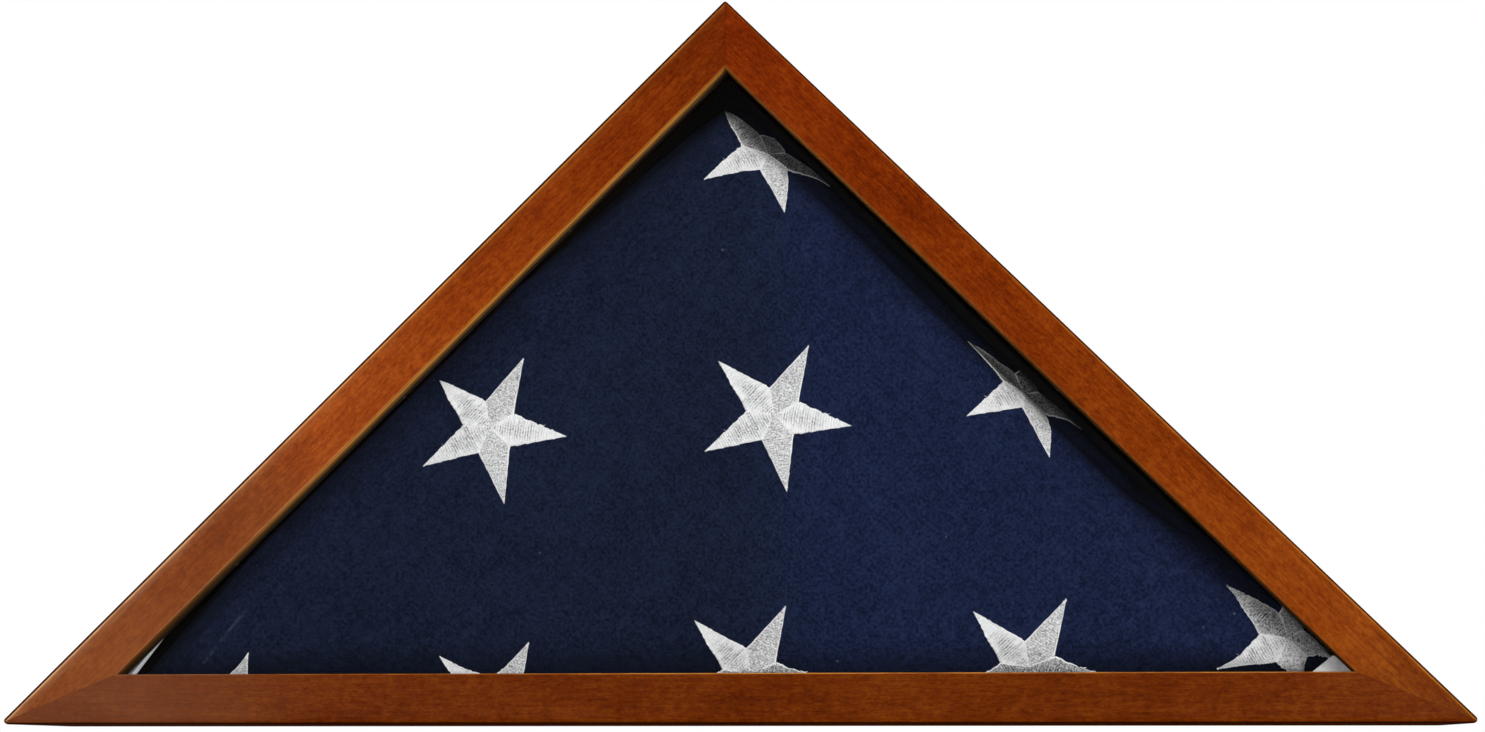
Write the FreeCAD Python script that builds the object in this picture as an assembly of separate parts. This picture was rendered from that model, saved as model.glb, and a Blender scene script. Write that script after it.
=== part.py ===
import FreeCAD
import Part
import math
import os
from FreeCAD import Vector

os.makedirs("parts", exist_ok=True)

# Case: three mitred rails around a right-angled triangle
case_width = 648.0  # across the base, corner to corner
base_angle = 45.0  # degrees between the base and each leg
case_depth = 89.0  # front face to rear face of the rails
face_width = 22.0  # front face of a rail
lip_thickness = 10.0  # front lip that holds the glass
wall_thickness = 16.0  # rail behind the lip
tip_radius = 1.8  # blunted outer corners of the triangle
front_ease = 1.5  # outer arris of the front face
lip_ease = 0.8  # inner arris of the front face
rear_ease = 1.0  # outer arris of the rear face

# Blind splines glued across the mitres
spline_length = 50.0
spline_width = 12.0
spline_thickness = 3.0
spline_seat = 0.6  # share of the mitre's length, from its outer corner
glue_gap = 0.05

# Glass and the beads that hold it against the lip
glass_thickness = 3.0
glass_clearance = 0.5
glass_corner = 3.0
bead_width = 5.5
bead_depth = 6.0
bead_round = 2.0
brad_radius = 0.6
brad_length = 13.0
brad_places = (0.2, 0.5, 0.8)  # shares of a rail's inner length
brad_fit = 0.03

# Back panel in its rabbet, with a felt lining inside
panel_thickness = 5.0
panel_rabbet = 6.0
panel_clearance = 0.5
panel_corner = 3.0
lining_thickness = 1.0
lining_clearance = 1.0

# Turn buttons on the rear ledge of the rails
button_places = (0.3, 0.7)  # shares of a rail's outer length
button_thickness = 1.3
button_pivot_radius = 5.0
button_tip_radius = 3.8
button_reach = 19.0  # pivot to the centre of the tip
button_clearance = 0.05  # running clearance on the screw
thumb_bump_radius = 2.4
thumb_bump_height = 0.7
washer_radius = 3.6
washer_thickness = 0.4
head_clearance = 0.1  # screw head above the button
screw_radius = 1.5
screw_depth = 14.0  # length in the wood
screw_point = 3.0
screw_fit = 0.05
head_radius = 3.1
head_height = 1.9
head_round = 1.0
recess_length = 3.6
recess_width = 0.8
recess_depth = 0.9

# Sawtooth hanger on the back panel
hanger_drop = 95.0  # from the outer apex down to the middle of the hanger
hanger_length = 62.0
hanger_width = 12.0
hanger_gauge = 1.0
hanger_tab = 13.0
hanger_ramp = 4.0
hanger_rise = 1.8
tooth_count = 9
tooth_pitch = 3.2
tooth_height = 2.4
hanger_screw_radius = 1.2
hanger_screw_depth = 4.0
hanger_head_radius = 2.4
hanger_head_height = 1.2

# Folded flag: a soft triangular bundle, crowned in front and rounded at its edges
flag_clearance = 0.3  # to the rails and to the lining
flag_air = 7.0  # from the glass to the crown
flag_corner = 10.0
flag_front_round = 16.0  # depth of the rounded front edge
flag_back_round = 9.0  # depth of the rounded back edge
flag_crown_rise = 3.0  # crown above the shoulder of the front edge
flag_crown_inset = 30.0  # from the front edge's shoulder to the flat of the crown
flag_round_steps = 6  # flats round each edge

# Stars embroidered on the front of the flag, some of them folded under its edges
star_radius = 34.4  # centre to a tip
star_waist = 13.1  # centre to an inner corner
star_relief = 0.8  # thickness of the stitching
star_margin = 3.0  # stitching stops this far inside the flag's side
star_tips = 5
star_first_tip = 64.0  # degrees from the base to the first tip
star_places = {  # centre across and up, and a small turn in degrees
    "middle": (20.4, 137.4, -0.3),
    "left": (-108.1, 132.9, 1.4),
    "right": (135.8, 150.2, 1.5),
    "top": (18.0, 257.0, 0.0),
    "low_left": (-105.3, 8.0, -1.5),
    "low_middle": (10.0, 21.4, -1.0),
    "low_right": (132.5, 24.3, -2.5),
    "corner_right": (245.5, 38.2, 0.0),
}

# Places that follow from the sizes above
half_depth = case_depth / 2
half_width = case_width / 2
tilt = math.radians(base_angle)
case_height = half_width * math.tan(tilt)
ledge_width = wall_thickness - panel_rabbet
panel_front = case_depth - panel_thickness
lining_front = panel_front - lining_thickness
glass_back = lip_thickness + glass_thickness
bead_back = glass_back + bead_depth
flag_front = glass_back + flag_air
flag_back = lining_front - flag_clearance
flag_inset = wall_thickness + flag_clearance
centre_height = half_width * math.tan(tilt / 2)  # where the three mitre planes meet
cut_margin = 20.0  # cutting shapes run past the wood by this much


def inset_corners(inset):
    # Left, right and top corners of the triangle moved in from the outer faces, as (x, z).
    run = inset / math.tan(tilt / 2)
    top = case_height - inset / math.cos(tilt)
    return [(-half_width + run, inset), (half_width - run, inset), (0.0, top)]


def space_point(flat, depth):
    # Depth is counted from the front face of the case towards its back.
    return Vector(flat[0], depth - half_depth, flat[1])


def unit(start, end):
    length = math.hypot(end[0] - start[0], end[1] - start[1])
    return ((end[0] - start[0]) / length, (end[1] - start[1]) / length)


def moved(point, direction, distance):
    return (point[0] + direction[0] * distance, point[1] + direction[1] * distance)


def rounded_outline(inset, radius, depth):
    corners = inset_corners(inset)
    starts = []
    middles = []
    ends = []
    for index, corner in enumerate(corners):
        back = unit(corner, corners[index - 1])
        ahead = unit(corner, corners[(index + 1) % 3])
        half_turn = math.acos(back[0] * ahead[0] + back[1] * ahead[1]) / 2
        inward = unit((0, 0), (back[0] + ahead[0], back[1] + ahead[1]))
        starts.append(moved(corner, back, radius / math.tan(half_turn)))
        middles.append(moved(corner, inward, radius / math.sin(half_turn) - radius))
        ends.append(moved(corner, ahead, radius / math.tan(half_turn)))
    edges = []
    for index in range(3):
        arc = [space_point(flat[index], depth) for flat in (starts, middles, ends)]
        edges.append(Part.Arc(*arc).toShape())
        following = space_point(starts[(index + 1) % 3], depth)
        edges.append(Part.LineSegment(arc[2], following).toShape())
    return Part.Wire(edges)


def plate(inset, radius, front, back):
    outline = Part.Face(rounded_outline(inset, radius, front))
    return outline.extrude(Vector(0, back - front, 0))


class Side:
    # One side of the triangle, from one outer corner to the next, going round anticlockwise.
    def __init__(self, name, start, end):
        self.name = name
        self.start = start
        self.end = end
        self.length = math.hypot(end[0] - start[0], end[1] - start[1])
        self.along = unit(start, end)
        self.inward = (-self.along[1], self.along[0])

    def point(self, run, inset, depth):
        flat = moved(moved(self.start, self.along, run), self.inward, inset)
        return space_point(flat, depth)

    def direction(self, flat):
        return Vector(flat[0], 0, flat[1])

    def sector(self):
        # Everything between the two mitre planes of this side.
        centre = (0.0, centre_height)
        outer = []
        for corner in (self.start, self.end):
            reach = math.hypot(corner[0] - centre[0], corner[1] - centre[1])
            outer.append(moved(centre, unit(centre, corner), reach + cut_margin))
        flats = [centre] + outer + [centre]
        wedge = Part.makePolygon([space_point(flat, -cut_margin) for flat in flats])
        return Part.Face(wedge).extrude(Vector(0, case_depth + 2 * cut_margin, 0))

    def moulding(self, edges_of):
        # A section drawn at the start corner, run the length of the side and mitred.
        wire = Part.Wire(edges_of(lambda inset, depth: self.point(-cut_margin, inset, depth)))
        bar = Part.Face(wire).extrude(self.direction(self.along) * (self.length + 2 * cut_margin))
        return bar.common(self.sector())


def line(place, start, end):
    return Part.LineSegment(place(*start), place(*end)).toShape()


def eased(place, start, corner, end):
    # A quarter round from start to end that cuts the corner off.
    radius = max(abs(start[0] - corner[0]), abs(start[1] - corner[1]))
    centre = (start[0] + end[0] - corner[0], start[1] + end[1] - corner[1])
    middle = moved(centre, unit(centre, corner), radius)
    return Part.Arc(place(*start), place(*middle), place(*end)).toShape()


def rail_section(place):
    # Points are (inset from the outer face, depth from the front face).
    return [
        line(place, (front_ease, 0), (face_width - lip_ease, 0)),
        eased(place, (face_width - lip_ease, 0), (face_width, 0), (face_width, lip_ease)),
        line(place, (face_width, lip_ease), (face_width, lip_thickness)),
        line(place, (face_width, lip_thickness), (wall_thickness, lip_thickness)),
        line(place, (wall_thickness, lip_thickness), (wall_thickness, panel_front)),
        line(place, (wall_thickness, panel_front), (ledge_width, panel_front)),
        line(place, (ledge_width, panel_front), (ledge_width, case_depth)),
        line(place, (ledge_width, case_depth), (rear_ease, case_depth)),
        eased(place, (rear_ease, case_depth), (0, case_depth), (0, case_depth - rear_ease)),
        line(place, (0, case_depth - rear_ease), (0, front_ease)),
        eased(place, (0, front_ease), (0, 0), (front_ease, 0)),
    ]


def bead_section(place):
    inner = wall_thickness + bead_width
    return [
        line(place, (wall_thickness, glass_back), (inner, glass_back)),
        line(place, (inner, glass_back), (inner, bead_back - bead_round)),
        eased(place, (inner, bead_back - bead_round), (inner, bead_back), (inner - bead_round, bead_back)),
        line(place, (inner - bead_round, bead_back), (wall_thickness, bead_back)),
        line(place, (wall_thickness, bead_back), (wall_thickness, glass_back)),
    ]


def corner_spline(corner, extra):
    # A flat key across one mitre, with extra room all round for its slot.
    centre = (0.0, centre_height)
    inward = unit(corner, centre)
    across = (-inward[1], inward[0])
    wall_mitre = wall_thickness * math.hypot(corner[0], corner[1] - centre_height) / centre_height
    seat = moved(corner, inward, spline_seat * wall_mitre)
    thick = spline_thickness / 2 + extra
    wide = spline_width / 2 + extra
    front = (case_depth - spline_length) / 2 - extra
    flats = []
    for sign_in, sign_across in ((-1, -1), (1, -1), (1, 1), (-1, 1), (-1, -1)):
        flats.append(moved(moved(seat, inward, sign_in * thick), across, sign_across * wide))
    outline = Part.makePolygon([space_point(flat, front) for flat in flats])
    return Part.Face(outline).extrude(Vector(0, spline_length + 2 * extra, 0))


def brad_at(side, place, extra):
    # A headless pin driven through the bead into the rail.
    inner_run = (wall_thickness + bead_width) / math.tan(tilt / 2)
    run = inner_run + place * (side.length - 2 * inner_run)
    head = side.point(run, wall_thickness + bead_width, glass_back + bead_depth / 2)
    return Part.makeCylinder(brad_radius + extra, brad_length, head, side.direction(side.inward) * -1)


def screw_shank(base, radius, depth):
    # Points towards the front of the case, with a cone at its end.
    plain = Part.makeCylinder(radius, depth - screw_point, base, Vector(0, -1, 0))
    tip_base = base + Vector(0, screw_point - depth, 0)
    return plain.fuse(Part.makeCone(radius, 0, screw_point, tip_base, Vector(0, -1, 0)))


def screw_head(base, radius, height):
    # A domed head with a cross recess, standing out from the back of the case.
    head = Part.makeCylinder(radius, height, base, Vector(0, 1, 0))
    rim = [edge for edge in head.Edges if abs(edge.CenterOfMass.y - base.y - height) < 0.01]
    head = head.makeFillet(head_round * height / head_height, rim)
    for length, width in ((recess_length, recess_width), (recess_width, recess_length)):
        corner = base + Vector(-length / 2, height - recess_depth, -width / 2)
        head = head.cut(Part.makeBox(length, recess_depth, width, corner))
    return head


def turn_button(pivot, arm, across):
    # A flat plate round its pivot and round at its tip, with straight tapering sides.
    lean = math.asin((button_pivot_radius - button_tip_radius) / button_reach)

    def spot(run, offset):
        return pivot + arm * run + across * offset

    def rim(run, radius, sign):
        return spot(run + radius * math.sin(lean), sign * radius * math.cos(lean))

    outline = Part.Wire([
        Part.Arc(
            rim(0, button_pivot_radius, 1), spot(-button_pivot_radius, 0), rim(0, button_pivot_radius, -1)
        ).toShape(),
        Part.LineSegment(
            rim(0, button_pivot_radius, -1), rim(button_reach, button_tip_radius, -1)
        ).toShape(),
        Part.Arc(
            rim(button_reach, button_tip_radius, -1),
            spot(button_reach + button_tip_radius, 0),
            rim(button_reach, button_tip_radius, 1),
        ).toShape(),
        Part.LineSegment(
            rim(button_reach, button_tip_radius, 1), rim(0, button_pivot_radius, 1)
        ).toShape(),
    ])
    blank = Part.Face(outline).extrude(Vector(0, button_thickness, 0))
    bump_span = (thumb_bump_radius**2 + thumb_bump_height**2) / (2 * thumb_bump_height)
    bump_centre = spot(button_reach, 0) + Vector(0, button_thickness + thumb_bump_height - bump_span, 0)
    bump = Part.makeSphere(bump_span, bump_centre)
    bump = bump.common(Part.makeCylinder(
        thumb_bump_radius, button_thickness / 2 + thumb_bump_height,
        spot(button_reach, 0) + Vector(0, button_thickness / 2, 0), Vector(0, 1, 0),
    ))
    hole = Part.makeCylinder(
        screw_radius + button_clearance, button_thickness, pivot, Vector(0, 1, 0)
    )
    return blank.fuse(bump).cut(hole).removeSplitter()


def sawtooth_hanger(centre):
    # A strip with flat tabs, a raised middle and a toothed lower edge.
    half = hanger_length / 2
    flat_end = half - hanger_tab
    ramp_end = flat_end - hanger_ramp
    under = [(-half, 0), (-flat_end, 0), (-ramp_end, hanger_rise), (ramp_end, hanger_rise)]
    under += [(flat_end, 0), (half, 0)]
    over = [(x, rise + hanger_gauge) for x, rise in reversed(under)]
    bottom = Vector(0, 0, -hanger_width / 2)
    points = [centre + bottom + Vector(x, rise, 0) for x, rise in under + over + under[:1]]
    strip = Part.Face(Part.makePolygon(points)).extrude(Vector(0, 0, hanger_width))
    teeth = []
    for index in range(tooth_count):
        left = (index - tooth_count / 2) * tooth_pitch
        notch = [(left, 0), (left + tooth_pitch / 2, tooth_height), (left + tooth_pitch, 0), (left, 0)]
        corner = centre + bottom + Vector(0, hanger_rise, 0)
        outline = Part.makePolygon([corner + Vector(x, 0, z) for x, z in notch])
        teeth.append(Part.Face(outline).extrude(Vector(0, hanger_gauge, 0)))
    return strip.cut(Part.makeCompound(teeth))


def folded_flag(skin):
    # Sections from the back of the bundle to its crown: (depth, inset from the widest outline).
    # A skin above zero gives the same bundle with its front and front edges that much thicker.
    turns = [math.pi / 2 * step / flag_round_steps for step in range(flag_round_steps + 1)]
    round_centre = flag_front + flag_crown_rise + flag_front_round
    sections = []
    for turn in turns:
        depth = flag_back - flag_back_round * (1 - math.cos(turn))
        sections.append((depth, flag_back_round * (1 - math.sin(turn))))
    for turn in turns:
        depth = round_centre - (flag_front_round + skin) * math.sin(turn)
        sections.append((depth, flag_front_round - (flag_front_round + skin) * math.cos(turn)))
    sections.append((flag_front - skin, flag_front_round + flag_crown_inset))
    wires = [rounded_outline(flag_inset + inset, flag_corner, depth) for depth, inset in sections]
    return Part.makeLoft(wires, True, True)


def star_prism(across, up, turn):
    # A five-pointed star that reaches from the glass to the middle of the rounded edge.
    flats = []
    for index in range(2 * star_tips):
        angle = math.radians(star_first_tip + turn + 180 * index / star_tips)
        reach = star_waist if index % 2 else star_radius
        flats.append((across + reach * math.cos(angle), up + reach * math.sin(angle)))
    outline = Part.makePolygon([space_point(flat, glass_back) for flat in flats + flats[:1]])
    return Part.Face(outline).extrude(Vector(0, flag_air + flag_crown_rise + flag_front_round, 0))


left_corner, right_corner, apex = inset_corners(0)
sides = [
    Side("bottom", left_corner, right_corner),
    Side("right", right_corner, apex),
    Side("left", apex, left_corner),
]
spline_corners = {"apex": apex, "left": left_corner, "right": right_corner}
nodes = {}

slots = [corner_spline(corner, glue_gap) for corner in spline_corners.values()]
blank_outline = plate(0, tip_radius, 0, case_depth)
rear = Vector(0, 1, 0)

for side in sides:
    rail = side.moulding(rail_section).common(blank_outline)
    bead = side.moulding(bead_section)
    cuts = list(slots)
    for number, place in enumerate(brad_places, 1):
        nodes[f"{side.name}_brad_{number}"] = brad_at(side, place, 0)
        hole = brad_at(side, place, brad_fit)
        cuts.append(hole)
        bead = bead.cut(hole)
    for number, place in enumerate(button_places, 1):
        seat = side.point(place * side.length, ledge_width / 2, case_depth)
        cuts.append(screw_shank(seat, screw_radius + screw_fit, screw_depth + screw_fit))
        washer = Part.makeCylinder(washer_radius, washer_thickness, seat, rear)
        bore = Part.makeCylinder(screw_radius + screw_fit, washer_thickness, seat, rear)
        nodes[f"{side.name}_washer_{number}"] = washer.cut(bore)
        pivot = seat + rear * washer_thickness
        arm = side.direction(side.along) * -1
        nodes[f"{side.name}_turn_button_{number}"] = turn_button(pivot, arm, side.direction(side.inward))
        head_seat = pivot + rear * (button_thickness + head_clearance)
        grip = washer_thickness + button_thickness + head_clearance
        shank = screw_shank(head_seat, screw_radius, screw_depth + grip)
        nodes[f"{side.name}_pivot_screw_{number}"] = shank.fuse(
            screw_head(head_seat, head_radius, head_height)
        ).removeSplitter()
    nodes[f"{side.name}_rail"] = rail.cut(Part.makeCompound(cuts))
    nodes[f"{side.name}_glass_bead"] = bead

for name, corner in spline_corners.items():
    nodes[f"{name}_spline"] = corner_spline(corner, 0)

nodes["glass_pane"] = plate(wall_thickness + glass_clearance, glass_corner, lip_thickness, glass_back)
nodes["felt_lining"] = plate(wall_thickness + lining_clearance, panel_corner, lining_front, panel_front)

hanger_centre = Vector(0, half_depth, case_height - hanger_drop)
hanger = sawtooth_hanger(hanger_centre)
panel = plate(ledge_width + panel_clearance, panel_corner, panel_front, case_depth)
for name, sign in (("left", -1), ("right", 1)):
    spot = hanger_centre + Vector(sign * (hanger_length - hanger_tab) / 2, 0, 0)
    head_seat = spot + Vector(0, hanger_gauge, 0)
    drill = hanger_screw_radius + screw_fit
    hole = Part.makeCylinder(drill, hanger_gauge + hanger_screw_depth + screw_fit, head_seat, Vector(0, -1, 0))
    hanger = hanger.cut(hole)
    panel = panel.cut(hole)
    shank = Part.makeCylinder(
        hanger_screw_radius, hanger_gauge + hanger_screw_depth, head_seat, Vector(0, -1, 0)
    )
    nodes[f"{name}_hanger_screw"] = shank.fuse(
        screw_head(head_seat, hanger_head_radius, hanger_head_height)
    ).removeSplitter()
nodes["sawtooth_hanger"] = hanger
nodes["back_panel"] = panel

flag = folded_flag(0)
nodes["folded_flag"] = flag
stitching = folded_flag(star_relief).cut(flag)
stitching = stitching.common(plate(flag_inset + star_margin, flag_corner, glass_back, flag_back))
for name, place in star_places.items():
    star = star_prism(*place).common(stitching)
    if star.Solids:  # a smaller case shows fewer stars
        nodes[f"{name}_star"] = star

for name, shape in nodes.items():
    shape.exportStep(f"parts/{name}.step")
    print(f"{name}: solids {len(shape.Solids)}, valid {shape.isValid()}, volume {shape.Volume:.1f}")
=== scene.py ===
import math
import random

import bpy
import numpy as np
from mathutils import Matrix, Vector


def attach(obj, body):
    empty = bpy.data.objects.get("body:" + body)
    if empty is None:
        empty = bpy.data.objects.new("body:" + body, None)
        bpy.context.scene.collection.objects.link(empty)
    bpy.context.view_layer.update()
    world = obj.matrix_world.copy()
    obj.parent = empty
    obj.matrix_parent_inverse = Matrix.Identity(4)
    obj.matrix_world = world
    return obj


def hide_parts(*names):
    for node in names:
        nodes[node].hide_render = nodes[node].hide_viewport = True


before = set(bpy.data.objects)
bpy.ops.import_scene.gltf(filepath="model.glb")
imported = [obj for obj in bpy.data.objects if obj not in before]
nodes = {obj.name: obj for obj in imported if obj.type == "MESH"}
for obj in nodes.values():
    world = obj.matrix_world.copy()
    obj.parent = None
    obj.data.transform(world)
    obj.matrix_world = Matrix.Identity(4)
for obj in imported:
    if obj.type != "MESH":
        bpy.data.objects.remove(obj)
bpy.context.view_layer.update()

half = math.sqrt(0.5)  # sine and cosine of the 45 degree legs
print("frame loaded,", len(nodes), "solids")


class Wire:
    # a socket that sums can be written with; every sum adds a Math node
    def __init__(self, tree, socket):
        self.tree, self.socket = tree, socket

    def maths(self, operation, first, second=0.0, clamp=False):
        step = self.tree.nodes.new("ShaderNodeMath")
        step.operation, step.use_clamp = operation, clamp
        for place, value in enumerate((first, second)):
            if isinstance(value, Wire):
                self.tree.links.new(value.socket, step.inputs[place])
            else:
                step.inputs[place].default_value = value
        return Wire(self.tree, step.outputs[0])

    def __add__(self, other):
        return self.maths("ADD", self, other)

    def __radd__(self, other):
        return self.maths("ADD", other, self)

    def __sub__(self, other):
        return self.maths("SUBTRACT", self, other)

    def __rsub__(self, other):
        return self.maths("SUBTRACT", other, self)

    def __mul__(self, other):
        return self.maths("MULTIPLY", self, other)

    def __rmul__(self, other):
        return self.maths("MULTIPLY", other, self)

    def __truediv__(self, other):
        return self.maths("DIVIDE", self, other)

    def __pow__(self, other):
        return self.maths("POWER", self, other)

    def __abs__(self):
        return self.maths("ABSOLUTE", self)

    def sine(self):
        return self.maths("SINE", self)

    def clamp(self):
        return self.maths("ADD", self, 0.0, clamp=True)

    def above(self, other):
        return self.maths("MAXIMUM", self, other)


class Finish:
    # one node tree; node() adds any node, its settings first and then its sockets
    def __init__(self, name, owner=None):
        self.owner = owner or bpy.data.materials.new(name)
        self.owner.use_nodes = True
        self.tree = self.owner.node_tree
        self.tree.nodes.clear()

    def node(self, kind, settings=None, sockets=None, out=0):
        made = self.tree.nodes.new("ShaderNode" + kind)
        for key, value in (settings or {}).items():
            if key == "stops":
                ramp = made.color_ramp
                while len(ramp.elements) > 1:
                    ramp.elements.remove(ramp.elements[-1])
                ramp.elements[0].position, ramp.elements[0].color = value[0]
                for place, colour in value[1:]:
                    ramp.elements.new(place).color = colour
            else:
                setattr(made, key, value)
        for key, value in (sockets or {}).items():
            if isinstance(value, Wire):
                self.tree.links.new(value.socket, made.inputs[key])
            else:
                made.inputs[key].default_value = value
        if isinstance(out, tuple):
            return [Wire(self.tree, made.outputs[place]) for place in out]
        return Wire(self.tree, made.outputs[out])

    def place(self, turn=(0, 0, 0), move=(0, 0, 0)):
        spot = self.node("TexCoord", out=3)  # object coordinates
        return self.node("Mapping", {}, {"Vector": spot, "Location": move, "Rotation": turn})

    def stretch(self, vector, scale):
        return self.node("VectorMath", {"operation": "MULTIPLY"}, {0: vector, 1: scale})

    def parts(self, vector):
        return self.node("SeparateXYZ", {}, {"Vector": vector}, out=(0, 1, 2))

    def noise(self, vector, scale, detail=2.0, rough=0.5, warp=0.0):
        return self.node("TexNoise", {}, {"Vector": vector, "Scale": scale, "Detail": detail,
                                          "Roughness": rough, "Distortion": warp})

    def cells(self, vector, scale):
        return self.node("TexVoronoi", {}, {"Vector": vector, "Scale": scale})

    def step(self, value, low, high):
        return self.node("MapRange", {"interpolation_type": "SMOOTHSTEP"},
                         {"Value": value, "From Min": low, "From Max": high})

    def blend(self, amount, first, second, mode="MIX"):
        return self.node("Mix", {"data_type": "RGBA", "blend_type": mode},
                         {0: amount, 6: first, 7: second}, out=2)  # the colour sockets of the node

    def bump(self, height, distance, strength):
        return self.node("Bump", {}, {"Height": height, "Distance": distance, "Strength": strength})

    def surface(self, sockets):
        return self.node("BsdfPrincipled", {}, sockets)

    def close(self, shader, kind="OutputMaterial"):
        self.node(kind, {}, {"Surface": shader}, out=())
        return self.owner


def pick(piece):
    bpy.ops.object.select_all(action="DESELECT")
    piece.select_set(True)
    bpy.context.view_layer.objects.active = piece


def applyAll(piece):
    pick(piece)
    for modifier in list(piece.modifiers):
        bpy.ops.object.modifier_apply(modifier=modifier.name)


def points(piece):
    flat = np.empty(len(piece.data.vertices) * 3)
    piece.data.vertices.foreach_get("co", flat)
    return flat.reshape(-1, 3)


def setPoints(piece, spots):
    piece.data.vertices.foreach_set("co", np.ascontiguousarray(spots).ravel())
    piece.data.update()


def wear(nodeNames, finish):
    for name in nodeNames:
        for place in nodes[name].material_slots:
            place.material = finish


# rails: where each starts in x and z, and the way it runs with the opening on its left
halfWidth = 0.324
rails = {
    "bottom": {"start": (-halfWidth, 0.0), "along": (1.0, 0.0), "length": 0.648},
    "right": {"start": (halfWidth, 0.0), "along": (-half, half), "length": 0.458},
    "left": {"start": (0.0, halfWidth), "along": (-half, -half), "length": 0.458},
}
squareMitre, sharpMitre = 1.0, 2.4142  # how far a mitre runs along the rail for each metre across it
woodLook = {
    "front": -0.0445, "faceWidth": 0.022, "lipDepth": 0.010,
    "wallInset": 0.0150,  # a little short of the wall's inner face
    "deep": (0.080, 0.0095, 0.0005, 1),
    "warm": (0.168, 0.0262, 0.0010, 1),
    "pale": (0.270, 0.060, 0.0038, 1),
    "pore": (0.050, 0.0068, 0.0006, 1),
    # the arrises' colour: partly rubbed wood, partly a painted highlight
    "wearAndHighlight": (0.55, 0.215, 0.038, 1),
    # painted light on the lip's inner face, brighter at its front and dimmer at its back, and painted shade
    # where it is dark
    "lip": (0.78, 0.33, 0.048, 1), "lipBack": (0.17, 0.082, 0.027, 1), "lipShade": (0.030, 0.013, 0.005, 1),
    "inside": (0.0075, 0.0050, 0.0036, 1),  # painted shade: the walls behind the glass are darkened to near black
    # edge: the painted shade along the outer rim
    "edge": (0.022, 0.0040, 0.0008, 1),
    "seam": (0.028, 0.005, 0.001, 1),
    "paintedSheen": (0.205, 0.078, 0.034, 1),  # painted sheen: a greyish veil of reflected light round the left corner
    "bare": (0.62, 0.36, 0.2, 1),
}
# for each rail, from its start to its end: tint and blush, how its colour leans and how pale it is;
# at places along it: how strong the painted highlight, with some rubbing, is on the outer and the inner
# arris, how much painted light the lip's inner face takes, the rest being painted shade, and the front's
# levels, partly stain and partly painted light; then how far from the left corner the painted sheen reaches,
# how wide the painted shade of the outer rim is, and how far the arris highlight fades inwards
railLooks = {
    "bottom": {
        "tint": (0.98, 1.02), "blush": (0.01, 0.01),
        "arris": ((0.0, 0.0), (1.0, 0.0)), "lipArris": ((0.0, 0.1), (0.35, 0.5), (0.5, 1.2), (1.0, 0.8)),
        "lip": ((0.0, 0.3), (1.0, 0.3)), "levels": ((0.0, 0.74), (1.0, 0.77)),
        "paintedSheen": 0.16, "rim": 0.0010, "wearHighlightTail": 0.0,
    },
    "right": {
        "tint": (1.1, 0.72), "blush": (0.05, -0.03),
        "arris": ((0.0, 0.65), (0.5, 0.35), (1.0, 0.1)), "lipArris": ((0.0, 0.2), (1.0, 0.45)),
        "lip": ((0.0, 0.1), (0.5, 0.3), (0.8, 0.6)),
        "levels": ((0.0, 0.66), (0.15, 1.22), (0.4, 1.14), (1.0, 1.12)),
        "paintedSheen": 0.27, "rim": 0.0010, "wearHighlightTail": 0.0,
    },
    "left": {
        "tint": (0.80, 1.08), "blush": (-0.03, 0.10),
        "arris": ((0.0, 0.45), (0.45, 1.0), (0.6, 1.5), (1.0, 1.8)),
        "lipArris": ((0.0, 0.7), (0.6, 0.6), (0.8, 0.2)),
        "lip": ((0.0, 1.0), (0.55, 0.95), (0.75, 0.25), (1.0, 0.1)),
        "levels": ((0.0, 0.92), (0.3, 1.2), (0.5, 1.56), (0.58, 1.8), (0.66, 1.14), (1.0, 1.14)),
        "paintedSheen": 0.27, "rim": 0.0013, "wearHighlightTail": 0.16,
    },
}


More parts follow.
